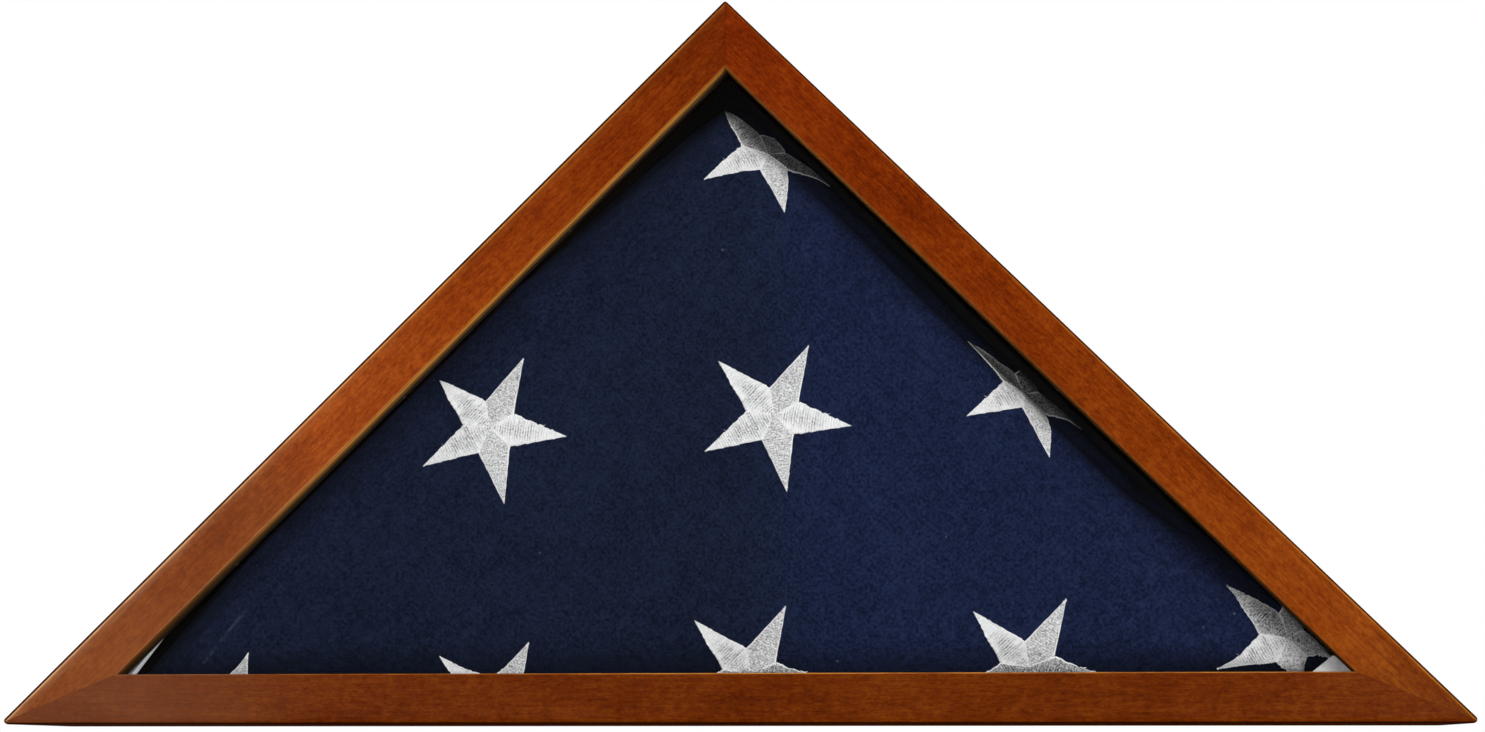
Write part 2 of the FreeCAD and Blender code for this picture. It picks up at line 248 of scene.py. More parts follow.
def woodOf(name, side):
    look, rail, own = woodLook, rails[side], railLooks[side]
    (sx, sz), (ax, az), length = rail["start"], rail["along"], rail["length"]
    f = Finish(name)
    spot = f.place(turn=(0, math.atan2(az, ax), 0), move=(-(sx * ax + sz * az), 0, sx * az - sz * ax))
    along, depth, inset = f.parts(spot)
    run, back = along / length, depth - look["front"]

    def varied(key):  # a ramp along the rail holds up to 1, so it gives half of each value
        stops = [(place, (value / 2, value / 2, value / 2, 1)) for place, value in own[key]]
        return f.node("ValToRGB", {"stops": stops}, {"Fac": run})

    # grain that runs with the rail, blotches in the stain, cross figure, fine fibre and short dark pores
    lines = f.noise(f.stretch(spot, (9.0, 150.0, 190.0)), 1.0, 4.0, 0.6, 0.7)
    blotch = f.noise(f.stretch(spot, (22.0, 30.0, 34.0)), 1.0, 4.0, 0.6, 0.5)
    cross = f.noise(f.stretch(spot, (150.0, 70.0, 60.0)), 1.0, 3.0, 0.6, 1.0)
    fleck = f.noise(f.stretch(spot, (280.0, 620.0, 620.0)), 1.0, 3.0, 0.7)
    fibre = f.noise(f.stretch(spot, (60.0, 1000.0, 1150.0)), 1.0, 2.0, 0.6)
    pores = f.step(f.noise(f.stretch(spot, (130.0, 1900.0, 2300.0)), 1.0, 1.0, 0.5), 0.63, 0.74)
    grit = f.noise(f.stretch(spot, (500.0, 1500.0, 1500.0)), 1.0, 2.0, 0.7)
    figure = lines * 0.16 + blotch * 0.26 + cross * 0.14 + fleck * 0.36 + fibre * 0.20 + grit * 0.30 - 0.21
    figure = figure + (figure - 0.5) * 0.15 + own["blush"][0] * (1 - run) + own["blush"][1] * run
    colour = f.node("ValToRGB", {"stops": [(0.3, look["deep"]), (0.5, look["warm"]), (0.72, look["pale"])]},
                    {"Fac": figure})
    tint = f.blend(run, *[(2.0, 2.0 * lean, 2.0 * lean, 1) for lean in own["tint"]])
    # the front's levels along each rail are partly stain and partly painted light, with a painted highlight
    # midway up the left rail
    level = f.blend(f.step(back, 0.0030, 0.0008), (0.5, 0.5, 0.5, 1), varied("levels"))  # the sides are even
    shade = f.blend(1.0, level, tint, "MULTIPLY")
    colour = f.blend(1.0, colour, shade, "MULTIPLY")
    rings = f.step(abs(f.noise(f.stretch(spot, (2.2, 60.0, 75.0)), 1.0, 1.0, 0.4) - 0.5), 0.022, 0.004)
    colour = f.blend((pores * 0.4).above(rings * 0.3 * fleck), colour, look["pore"])
    # painted sheen: a greyish veil of reflected light painted round the left corner
    x, _, z = f.parts(f.place())
    cornerFar = ((x + halfWidth) * (x + halfWidth) + z * z * 0.7) ** 0.5
    paintedSheen = f.step(cornerFar, own["paintedSheen"], 0.06) * (0.55 + 0.5 * blotch)
    colour = f.blend(paintedSheen * 0.42, colour, look["paintedSheen"])

    # painted shade darkens the outer edge, a painted highlight with some rubbing lightens its arris and the
    # lip's arris, and the mitres hold dark stain
    nearFront = f.step(back, 0.0024, 0.0004)
    patchy = f.step(f.noise(f.stretch(spot, (45.0, 200.0, 200.0)), 1.0, 3.0, 0.65), 0.3, 0.62)
    edge, lipEdge = own["rim"], look["faceWidth"]
    core = f.step(inset, edge + 0.0010, edge + 0.0004) * 0.8
    core = core + f.step(inset, edge + 0.0045, edge) * own["wearHighlightTail"]
    outer = f.step(inset, edge - 0.0002, edge + 0.0001) * core * nearFront
    inner = f.step(inset, lipEdge - 0.0007, lipEdge - 0.0002) * nearFront
    rim = f.step(inset, edge, edge - 0.0004) * nearFront
    # painted shade along the outer rim, where the rounded edge turns away from the light
    colour = f.blend(rim * 0.9, colour, look["edge"])
    lip = f.step(inset, lipEdge - 0.0003, lipEdge - 0.0001) * f.step(back, 0.0007, 0.0012)
    # painted light and shade on the lip's inner face: lit where the rail's lip ramp is high, painted shade
    # where it is low
    lipLitColour = f.blend(f.step(back, 0.0028, 0.0070), look["lip"], look["lipBack"])
    lipLitColour = f.blend(varied("lip") * 2, look["lipShade"], lipLitColour)
    colour = f.blend(lip * (0.75 + 0.25 * blotch), colour, lipLitColour)
    # painted highlight, with some rubbing, on the outer and inner arris; bare wood where the painted sheen
    # lies
    rubbedAndLit = outer * varied("arris") + inner * varied("lipArris")
    wearAndHighlight = f.blend(paintedSheen, look["wearAndHighlight"], look["bare"])
    colour = f.blend((rubbedAndLit * (0.6 + 1.4 * patchy)).clamp(), colour, wearAndHighlight)
    # painted shade: the walls behind the glass are darkened to near black
    inside = f.step(inset, look["wallInset"], look["wallInset"] + 0.0006)
    inside = inside * f.step(back, look["lipDepth"] - 0.0002, look["lipDepth"] + 0.0001)
    colour = f.blend(inside, colour, look["inside"])
    startGap = along - inset * (squareMitre if side == "left" else sharpMitre)
    endGap = length - along - inset * (squareMitre if side == "right" else sharpMitre)
    seam = (1 - f.step(abs(startGap), 0.0001, 0.0007)).above(1 - f.step(abs(endGap), 0.0001, 0.0007))
    colour = f.blend(seam * patchy * 0.32, colour, look["seam"])
    nick = 1 - f.step(f.cells(f.stretch(spot, (0.8, 1.0, 1.0)), 30.0), 0.009, 0.016)
    colour = f.blend(nick * 0.7, colour, look["bare"])

    # no lacquer is left on the arrises, which are rubbed and carry the painted highlight, or on the lip's
    # inner face, and none was put on inside
    bareEdge = (f.step(inset, 0.0026, 0.0018) * nearFront).above(lip).above(inside)
    height = (fibre * 0.4 + lines * 0.4 + fleck * 0.3 - pores * 0.8 - nick * 1.5) * (1 - 0.8 * bareEdge)
    return f.close(f.surface({
        "Base Color": colour, "Roughness": 0.55, "Specular IOR Level": 0.0,
        "Coat Weight": (0.15 + 0.16 * (blotch - 0.5) - 0.1 * pores) * (1 - bareEdge), "Coat Roughness": 0.17,
        "Normal": f.bump(height, 0.0001, 0.45),
    }))


for railSide in rails:
    wear([railSide + "_rail"], woodOf(railSide + "StainedWood", railSide))


beadLook = {  # dark and light of the grain; the left one is lighter as painted light, the right and bottom ones are darkened to near black as painted shade
    "left": ((0.021, 0.014, 0.009, 1), (0.052, 0.036, 0.022, 1)),
    "right": ((0.010, 0.007, 0.004, 1), (0.026, 0.017, 0.010, 1)),
    "bottom": ((0.010, 0.007, 0.004, 1), (0.026, 0.017, 0.010, 1)),
}


def beadOf(name, side):
    f = Finish(name)
    spot = f.place()
    grain = f.noise(f.stretch(spot, (120.0, 260.0, 120.0)), 1.0, 4.0, 0.65, 0.6)
    fine = f.noise(spot, 500.0, 2.0, 0.6)
    colour = f.blend(grain * 0.8 + fine * 0.2, *beadLook[side])
    return f.close(f.surface({"Base Color": colour, "Roughness": 0.6 + 0.15 * (fine - 0.5),
                              "Specular IOR Level": 0.1, "Normal": f.bump(grain + fine * 0.3, 0.0001, 0.3)}))


for railSide in rails:
    wear([railSide + "_glass_bead"], beadOf(railSide + "BeadWood", railSide))


splineLook = {"dark": (0.09, 0.016, 0.002, 1), "light": (0.2, 0.045, 0.007, 1), "roughness": 0.42}


def splineFinish():
    f = Finish("splineWood")
    spot = f.place()
    grain = f.noise(f.stretch(spot, (90.0, 40.0, 700.0)), 1.0, 3.0, 0.6)
    colour = f.blend(grain, splineLook["dark"], splineLook["light"])
    return f.close(f.surface({"Base Color": colour, "Roughness": splineLook["roughness"] + grain * 0.1,
                              "Normal": f.bump(grain, 0.0001, 0.5)}))


wear(["apex_spline", "left_spline", "right_spline"], splineFinish())
print("wood finished")


# metal: screws, washers and hanger in zinc, buttons in brass, brads in bright steel
metals = {
    "zincSteel": {"base": (0.46, 0.47, 0.48, 1), "dull": (0.27, 0.28, 0.29, 1),
                  "roughness": 0.36, "grain": 900.0},
    "brassPlate": {"base": (0.60, 0.39, 0.13, 1), "dull": (0.30, 0.17, 0.05, 1),
                   "roughness": 0.30, "grain": 600.0},
    "steelPin": {"base": (0.56, 0.55, 0.53, 1), "dull": (0.28, 0.26, 0.24, 1),
                 "roughness": 0.4, "grain": 1500.0},
}


def metalOf(name):
    look = metals[name]
    f = Finish(name)
    spot = f.place()
    cloud = f.noise(spot, 160.0, 4.0, 0.6, 0.5)
    fine = f.noise(f.stretch(spot, (1.0, 0.3, 1.0)), look["grain"], 2.0, 0.6)
    colour = f.blend(f.step(cloud, 0.48, 0.78), look["base"], look["dull"])
    return f.close(f.surface({"Base Color": colour, "Metallic": 1.0,
                              "Roughness": look["roughness"] + 0.22 * (cloud - 0.4) + 0.1 * (fine - 0.5),
                              "Normal": f.bump(fine + cloud * 0.5, 0.00004, 0.4)}))


finishes = {name: metalOf(name) for name in metals}
wear([n for n in nodes if "washer" in n or "screw" in n or n == "sawtooth_hanger"], finishes["zincSteel"])
wear([n for n in nodes if "turn_button" in n], finishes["brassPlate"])
wear([n for n in nodes if "_brad_" in n], finishes["steelPin"])


glassLook = {"tint": (0.985, 0.988, 0.985, 1), "index": 1.18}  # low, as glass with an anti-glare coat


def glassFinish():
    f = Finish("clearGlass")
    edge = f.node("Fresnel", {}, {"IOR": glassLook["index"]})
    clear = f.node("BsdfTransparent", {}, {"Color": glassLook["tint"]})
    shine = f.node("BsdfGlossy", {}, {"Color": (1, 1, 1, 1), "Roughness": 0.0})
    return f.close(f.node("MixShader", {}, {0: edge, 1: clear, 2: shine}))


wear(["glass_pane"], glassFinish())

boardLook = {
    "dark": (0.082, 0.043, 0.021, 1), "light": (0.205, 0.118, 0.062, 1), "fleck": (0.36, 0.24, 0.14, 1),
    "inner": (0.007, 0.006, 0.006, 1), "innerFace": 0.0395,  # painted shade: the side that takes the felt is darkened to near black
}


def boardFinish():
    f = Finish("brownHardboard")
    spot = f.place()
    y = f.parts(spot)[1]
    mottle = f.noise(spot, 30.0, 5.0, 0.6, 0.3)
    chips = f.noise(f.stretch(spot, (480.0, 480.0, 1300.0)), 1.0, 3.0, 0.7, 1.5)
    flecks = f.step(f.noise(f.stretch(spot, (1100.0, 700.0, 300.0)), 1.0, 2.0, 0.5, 2.0), 0.62, 0.74)
    scuff = f.step(f.noise(f.stretch(spot, (9.0, 9.0, 160.0)), 1.0, 4.0, 0.6, 1.2), 0.58, 0.74)
    colour = f.blend((chips - 0.5) * 1.1 + (mottle - 0.5) * 0.9 + 0.5, boardLook["dark"], boardLook["light"])
    colour = f.blend((flecks * 0.6).above(scuff * 0.16), colour, boardLook["fleck"])
    # painted shade: the side that takes the felt is darkened to near black
    inner = f.step(y, boardLook["innerFace"] + 0.0004, boardLook["innerFace"] + 0.0001)
    colour = f.blend(inner, colour, boardLook["inner"])
    return f.close(f.surface({"Base Color": colour, "Roughness": 0.62 + 0.2 * (mottle - 0.5),
                              "Specular IOR Level": 0.3, "Normal": f.bump(chips + flecks, 0.0001, 0.6)}))


wear(["back_panel"], boardFinish())

feltLook = {"dark": (0.006, 0.006, 0.007, 1), "light": (0.03, 0.03, 0.034, 1)}


def feltFinish():
    f = Finish("blackFelt")
    spot = f.place()
    fuzz = f.noise(spot, 1400.0, 3.0, 0.7, 1.0)
    cloud = f.noise(spot, 60.0, 3.0, 0.6)
    colour = f.blend(fuzz * 0.7 + cloud * 0.3, feltLook["dark"], feltLook["light"])
    return f.close(f.surface({"Base Color": colour, "Roughness": 0.95, "Specular IOR Level": 0.1,
                              "Sheen Weight": 0.25, "Sheen Roughness": 0.5,
                              "Normal": f.bump(fuzz, 0.0003, 0.7)}))


wear(["felt_lining"], feltFinish())
print("hardware, glass and board finished")


# folded flag: a soft stuffed triangle, remeshed, swelled a little by cloth pressure and kept inside the case
flagLook = {
    "voxel": 0.004, "pressure": 3.0, "frames": 20, "cap": 0.0022,
    "wallGap": 0.01635,  # least distance from the rails' outer faces
    "frontLimit": -0.0265, "backLimit": 0.0381,
    # the CAD solid's front, its sides' and rolls' distance from the rails' outer faces, and the rolls' radius
    "solidFront": -0.0245, "solidSide": 0.0163, "solidRoll": 0.0323, "solidRadius": 0.016,
    "shiftReach": 0.08,  # past this distance from a rail, its edge leaves the cloth where it is
    # at heights up each side: the distance from the rail's outer face to the flag's side and to its roll's
    # start, how far back it rolls, and how steeply it falls away
    "edges": {
        "bottom": ((0.0,), (0.0166,), (0.0232,), (0.016,), (0.0,)),
        "right": ((0.050, 0.075, 0.11, 0.18, 0.245, 0.262, 0.275),
                  (0.0166, 0.0190, 0.0282, 0.0292, 0.0275, 0.0272, 0.0272),
                  (0.0240, 0.0345, 0.0345, 0.0340, 0.0345, 0.0360, 0.0400),
                  (0.016, 0.016, 0.016, 0.016, 0.016, 0.016, 0.016),
                  (0.0, 0.1, 0.2, 0.25, 0.3, 0.4, 0.4)),
        "left": ((0.0, 0.20, 0.25, 0.28),
                 (0.0166, 0.0166, 0.0212, 0.0258),
                 (0.0340, 0.0360, 0.0390, 0.0420),
                 (0.011, 0.011, 0.016, 0.016),
                 (0.0, 0.0, 0.0, 0.0)),
        "corner": ((0.0,), (0.0060,), (0.0420,), (0.016,), (0.0,)),
    },
    "creaseReach": 0.010,
    "flapEdge": 0.118, "flapThick": 0.0019, "hem": 0.009,  # a last flap with a sewn hem lies over the back
    "navy": (0.0037, 0.0071, 0.0256, 1), "faded": (0.0155, 0.0249, 0.0752, 1), "lint": (0.30, 0.33, 0.42, 1),
    "foldMark": (-0.2301, 0.0381), "foldReach": 0.015,  # a soft crease in the left corner, in x and z
    # under is the painted shade for the cloth's front at the bottom lip
    "crease": (0.040, 0.052, 0.105, 1), "under": (0.0004, 0.0006, 0.0016, 1),
    "leftTint": (0.93, 0.89, 0.75, 1), "rightTint": (1.12, 1.09, 1.12, 1),  # painted light: the right half is lighter, and the left half greyer under a painted veil of reflection
    "threadPitch": 0.00055,
}
folds = dict(rails, corner={"start": (0.285, 0.0), "along": (0.0, 1.0)})  # the right end turns back as well


def railInset(spots, side):
    (sx, sz), (ax, az) = folds[side]["start"], folds[side]["along"]
    return (spots[:, 0] - sx) * -az + (spots[:, 2] - sz) * ax


def slide(spots, side, amount):
    ax, az = folds[side]["along"]
    spots[:, 0] += amount * -az
    spots[:, 2] += amount * ax


def edgeOf(side, height):
    heights, *measures = flagLook["edges"][side]
    return [np.interp(height, heights, values) for values in measures]


def keepInside(spots):
    spots[:, 1] = np.clip(spots[:, 1], flagLook["frontLimit"], flagLook["backLimit"])
    for side in rails:
        slide(spots, side, np.maximum(flagLook["wallGap"] - railInset(spots, side), 0))
    return spots


def drawIn(spots):
    # the solid's even sides and rolls are moved to the flag's own
    sideAt, rollAt, radius = flagLook["solidSide"], flagLook["solidRoll"], flagLook["solidRadius"]
    reach = flagLook["shiftReach"]
    front = np.interp(spots[:, 1], (-0.01, 0.03), (1.0, 0.35))
    for side in rails:
        inset = railInset(spots, side)
        stand, roll, deep, crease = edgeOf(side, spots[:, 2])
        sunk = np.clip(spots[:, 1] - flagLook["solidFront"], 0, radius)  # how far its roll has gone back
        raised = np.where(inset < rollAt, sunk * (1 - deep / radius), 0)
        spots[:, 1] -= raised * np.interp(spots[:, 1], (0, 0.03), (1, 0))
        near = stand + (inset - sideAt) * (roll - stand) / radius
        far = roll + (inset - rollAt) * (reach - roll) / (reach - rollAt)
        drawn = np.where(inset < rollAt, near, np.where(inset < reach, far, inset))
        slide(spots, side, (drawn - inset) * front)
        past = np.clip(roll - drawn, 0, flagLook["creaseReach"])
        spots[:, 1] += crease * past * np.interp(spots[:, 1], (-0.016, 0.008), (1.0, 0.0))
    stand, roll, deep, _ = edgeOf("corner", 0.0)
    past = np.clip((roll - railInset(spots, "corner")) / (roll - stand), 0, 1)
    sunk = deep * (1 - np.sqrt(1 - past ** 2))
    spots[:, 1] += sunk * np.interp(spots[:, 1], (-0.016, 0.02), (1.0, 0.0))
    flapEdge = flagLook["flapEdge"]
    under = np.interp(spots[:, 0] + spots[:, 2], (flapEdge - 0.003, flapEdge), (1.0, 0.0))
    spots[:, 1] -= flagLook["flapThick"] * under * np.interp(spots[:, 1], (0.01, 0.03), (0.0, 1.0))
    return spots


def flagBundle():
    bundle = bpy.data.objects.new("flag_bundle", nodes["folded_flag"].data.copy())
    bpy.context.scene.collection.objects.link(bundle)
    bundle.data.materials.clear()
    pick(bundle)
    bpy.ops.object.mode_set(mode="EDIT")
    bpy.ops.mesh.select_all(action="SELECT")
    bpy.ops.mesh.remove_doubles(threshold=0.00005)
    bpy.ops.object.mode_set(mode="OBJECT")
    bundle.data.remesh_voxel_size = flagLook["voxel"]
    bpy.ops.object.voxel_remesh()
    before = drawIn(points(bundle))
    setPoints(bundle, before)
    before = before.copy()
    cloth = bundle.modifiers.new("swell", "CLOTH")
    cloth.settings.use_pressure = True
    cloth.settings.uniform_pressure_force = flagLook["pressure"]
    cloth.settings.effector_weights.gravity = 0
    cloth.settings.quality = 4
    for moment in range(1, flagLook["frames"] + 1):
        bpy.context.scene.frame_set(moment)
    applyAll(bundle)
    bpy.context.scene.frame_set(1)
    move = points(bundle) - before
    far = np.linalg.norm(move, axis=1, keepdims=True)
    move *= np.minimum(1.0, flagLook["cap"] / np.maximum(far, 1e-9))
    setPoints(bundle, keepInside(before + move))
    print("flag swelled, up to", round(float(far.max()) * 1000, 1), "mm before the cap")
    smooth = bundle.modifiers.new("smooth", "SUBSURF")
    smooth.levels = smooth.render_levels = 1
    applyAll(bundle)
    bpy.ops.object.shade_smooth()
    return bundle


def flagFinish():
    look = flagLook
    f = Finish("navyCotton")
    spot = f.place()
    x, y, z = f.parts(spot)
    # threads run with the legs, and carry on round the rolled edges
    warp = ((x + z) * half + y) * (2 * math.pi / look["threadPitch"])
    weft = ((x - z) * half - y) * (2 * math.pi / look["threadPitch"])
    weave = warp.sine() * weft.sine()
    turned = f.place(turn=(0, math.radians(45), 0))
    slub = f.noise(f.stretch(turned, (700.0, 500.0, 90.0)), 1.0, 2.0, 0.6)
    slubAcross = f.noise(f.stretch(turned, (90.0, 500.0, 700.0)), 1.0, 2.0, 0.6)
    dye = f.noise(spot, 24.0, 4.0, 0.6, 0.4)
    mottle = f.noise(spot, 190.0, 2.0, 0.6)
    grains = f.noise(spot, 760.0, 2.0, 0.7)
    threads = (slub - 0.5) * 0.7 + (slubAcross - 0.5) * 0.7 + (grains - 0.5) * 2.6
    tone = 0.42 + (dye - 0.5) * 0.7 + (mottle - 0.5) * 0.7 + threads
    colour = f.blend((tone + weave * 0.12).clamp(), look["navy"], look["faded"])
    # painted light: lighter on the right, greyer on the left under a painted veil of reflection
    tint = f.blend(f.step(x, 0.0, 0.05), look["leftTint"], look["rightTint"])
    colour = f.blend(1.0, colour, tint, "MULTIPLY")
    # a soft crease where the corner was folded, stitches along the back's hem, and specks of lint
    markX, markZ = look["foldMark"]
    bent = (x - markX) * 0.78 - (z - markZ) * 0.625 + (f.noise(spot, 60.0, 2.0) - 0.5) * 0.004
    reach = f.step(abs(z - markZ), look["foldReach"], look["foldReach"] * 0.6)
    crease = f.step(abs(bent), 0.0013, 0.0001) * reach * f.step(f.noise(spot, 260.0, 2.0), 0.36, 0.55)
    colour = f.blend(crease * 0.8, colour, look["crease"])
    hemFar = x + z - look["flapEdge"] - look["hem"]
    stitches = f.step(abs(hemFar), 0.0009, 0.0004) * f.step(((x - z) * 1600.0).sine(), -0.5, 0.0)
    colour = f.blend(stitches * f.step(y, 0.02, 0.03) * 0.7, colour, look["crease"])
    # painted shade: the cloth's front is darkened towards the bottom lip, where it turns under
    colour = f.blend(f.step(z, 0.040, 0.020) * f.step(y, 0.0, -0.01) * 0.62, colour, look["under"])
    lint = f.cells(spot, 62.0)
    speck = (1 - f.step(lint, 0.020, 0.040)) * f.step(f.noise(spot, 37.0, 1.0), 0.47, 0.56)
    colour = f.blend(speck * 0.36, colour, look["lint"])
    return f.close(f.surface({
        "Base Color": colour, "Roughness": 0.92, "Specular IOR Level": 0.05,
        "Sheen Weight": 0.02, "Sheen Roughness": 0.4, "Sheen Tint": (0.45, 0.55, 1.0, 1),
        "Normal": f.bump(weave * 0.5 + grains * 0.7 + slub * 0.4 + crease, 0.00018, 0.8),
    }))


flag = flagBundle()
flag.data.materials.append(flagFinish())
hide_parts("folded_flag")
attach(flag, "case")
print("flag made,", len(flag.data.polygons), "faces")


# embroidered stars: five kites of satin stitch, each thread a ridge across its arm
starLook = {
    "radius": 0.0349, "waist": 0.0123, "firstTip": 63.7, "bluntTip": 0.00022,
    "threadPitch": 0.00118,
    "columns": (-1, -0.95, -0.84, -0.6, -0.35, -0.12, 0.12, 0.35, 0.6, 0.84, 0.95, 1),
    "profile": (0.0, 0.75, 1.0, 0.75), "grooveShade": (1.0, 0.45, 0.1, 0.45),  # one thread from groove to groove, and the painted shade along its groove
    "padding": 0.00062, "ridge": 0.00026, "cord": 0.00028,
    # for each arm from the first tip, turning anticlockwise; the arms' tones are painted light, the satin
    # sheen that each arm's thread direction gives
    "paintedLight": (0.67, 1.0, 0.92, 0.69, 1.0), "ribs": (0.45, 1.0, 1.0, 0.45, 1.0),
    "fray": (0.00014, 0.00050, 0.00030, 0.00020, 0.00055), "edges": (0.97, 0.90, 0.97, 0.97, 0.95),
    "fibres": 80, "fibreLength": 0.0018, "fibreWidth": 0.00015,
    "seat": 0.00012, "wander": 0.00012,  # how far over the cloth a star lies, and how far its threads stray
    "liftUnit": 0.001,  # the rise that a weight of 1 stands for
    "cordMark": 8, "fibreMark": 7,  # what corded edges add to their arm's number, and the fibres' own number
}
starPlaces = {  # x and z in millimetres, and tilt in degrees
    "middle_star": (20.6, 137.2, -0.3), "left_star": (-107.7, 132.6, 1.5), "right_star": (137.2, 151.9, 0.0),
    "top_star": (19.7, 261.7, 0.0), "low_left_star": (-105.3, 5.3, -0.5),
    "low_middle_star": (9.7, 21.1, -1.0), "low_right_star": (132.5, 24.0, -2.3),
    "corner_right_star": (245.3, 37.3, 1.5), "corner_left_star": (-229.6, -0.3, 5.0),
}
# painted shade on the arms that a fold turns away, but not at their corded edges: how much of an arm's tone
# is left
lowArms = {2: 0.5, 3: 0.5, 4: 0.5}
foldShadedArms = {
    "low_middle_star": lowArms, "low_right_star": lowArms, "low_left_star": lowArms,
    "top_star": {0: 0.4, 1: 0.45, 4: 0.22},
    "right_star": {0: 0.30, 1: 0.40, 4: 0.24}, "corner_right_star": {0: 0.7, 1: 0.5, 4: 0.55},
}
shortArms = {"top_star": {0: 0.35, 3: 0.9}}  # arms sewn short, as a part of their length past the waist


def starKnee():
    # where an arm is widest: how far out that is, and half its width there
    turn = math.radians(36)
    return starLook["waist"] * math.cos(turn), starLook["waist"] * math.sin(turn)


def starArm(arm, draw):
    look, tip = starLook, starLook["radius"]
    knee, kneeHalf = starKnee()
    threads, strands = round(tip / look["threadPitch"]), len(look["profile"])
    rows, across = threads * strands, len(look["columns"])
    bpy.ops.mesh.primitive_grid_add(x_subdivisions=across - 1, y_subdivisions=rows, size=1)
    piece = bpy.context.object
    spots = points(piece)
    column = np.rint((spots[:, 0] + 0.5) * (across - 1)).astype(int)
    row = np.rint((spots[:, 1] + 0.5) * rows).astype(int)
    # each thread ends a little further out or in than the next
    ends = []
    for thread in range(threads + 1):
        s = min(tip, (thread + 0.5) * look["threadPitch"])
        loose = look["fray"][arm] * min(1.0, (tip - s) / (0.2 * tip)) if s > knee else 0.0
        ends.append([draw.uniform(-0.25, 1.0) * loose + 0.00006 for _ in range(2)])
    s = tip * row / rows
    reach = np.where(s < knee, kneeHalf * s / knee, kneeHalf * (tip - s) / (tip - knee))
    reach = np.maximum(reach, np.where(s < knee, 0, look["bluntTip"] * np.clip((tip - s) / 0.0004, 0.2, 1)))
    edge = np.array(look["columns"])[column]
    spare = np.array(ends)[row // strands]
    side = edge * (reach + np.where(edge < 0, spare[:, 0], spare[:, 1]))
    lean = np.array([draw.uniform(-1, 1) for _ in range(across * (threads + 1))]).reshape(threads + 1, across)
    forward = s + look["wander"] * lean[row // strands, column] * (s > 0.002)
    # padded underneath and thinning to the tip, a ridge for each thread, a cord along the edges
    level = np.array(look["profile"])[row % strands]
    fat = np.sqrt(np.clip(1 - edge ** 2, 0, 1)) * np.clip((tip - s) / (tip * 0.5), 0.3, 1)
    cord = np.where(np.abs(np.abs(edge) - 0.95) < 0.02, look["cord"], 0.0)
    cord = cord * np.clip((tip - s) / (tip * 0.3), 0.1, 1)
    rise = look["padding"] * fat + look["ridge"] * level * (0.6 + 0.8 * look["ribs"][arm]) + cord
    turn = math.radians(look["firstTip"] + 72 * arm)
    setPoints(piece, np.stack([forward * math.cos(turn) - side * math.sin(turn), np.zeros(len(spots)),
                               forward * math.sin(turn) + side * math.cos(turn)], axis=1))
    # painted shade darkens the grooves along part of their length, and the corded edges are bright
    groove = np.zeros((threads + 1, across))
    for thread in range(threads + 1):
        if look["ribs"][arm] > 0.5:  # long grooves, open in the inner half of the arm
            middle, run = draw.uniform(4.5, 6.5), draw.uniform(1.8, 3.4)
            depth = draw.uniform(0.55, 1.0) * np.clip((0.75 - thread / threads) / 0.25, 0.2, 1)
        else:
            middle, run = draw.uniform(1.5, across - 2.5), draw.uniform(0.6, 2.2)
            depth = draw.uniform(0.4, 1.0) * np.clip(1.45 - thread / threads * 1.2, 0.25, 1)
        groove[thread] = depth * np.clip(1.5 - np.abs(np.arange(across) - middle) / run, 0, 1)
    dark = np.array(look["grooveShade"])[row % strands] * groove[row // strands, column] * look["ribs"][arm] * 0.72
    shade = look["paintedLight"][arm] * (1 - dark) + 0.06 * np.array([draw.uniform(-1, 1) for _ in spots])
    corded = np.abs(edge) > 0.9
    shade = np.where(corded, look["edges"][arm], shade)
    shade = np.where(s > tip * 0.93, 0.92, shade)
    finishArm(piece, shade, rise, np.where(corded, arm + look["cordMark"], arm))
    return piece


def finishArm(piece, shade, rise, arms):
    tone = piece.data.attributes.new("tone", "FLOAT", "POINT")
    tone.data.foreach_set("value", np.asarray(shade, dtype=np.float32))
    which = piece.data.attributes.new("arm", "INT", "POINT")
    which.data.foreach_set("value", np.asarray(arms, dtype=np.int32))
    lift = piece.vertex_groups.new(name="lift")
    for index, value in enumerate(rise):
        lift.add([index], float(value / starLook["liftUnit"]), "REPLACE")


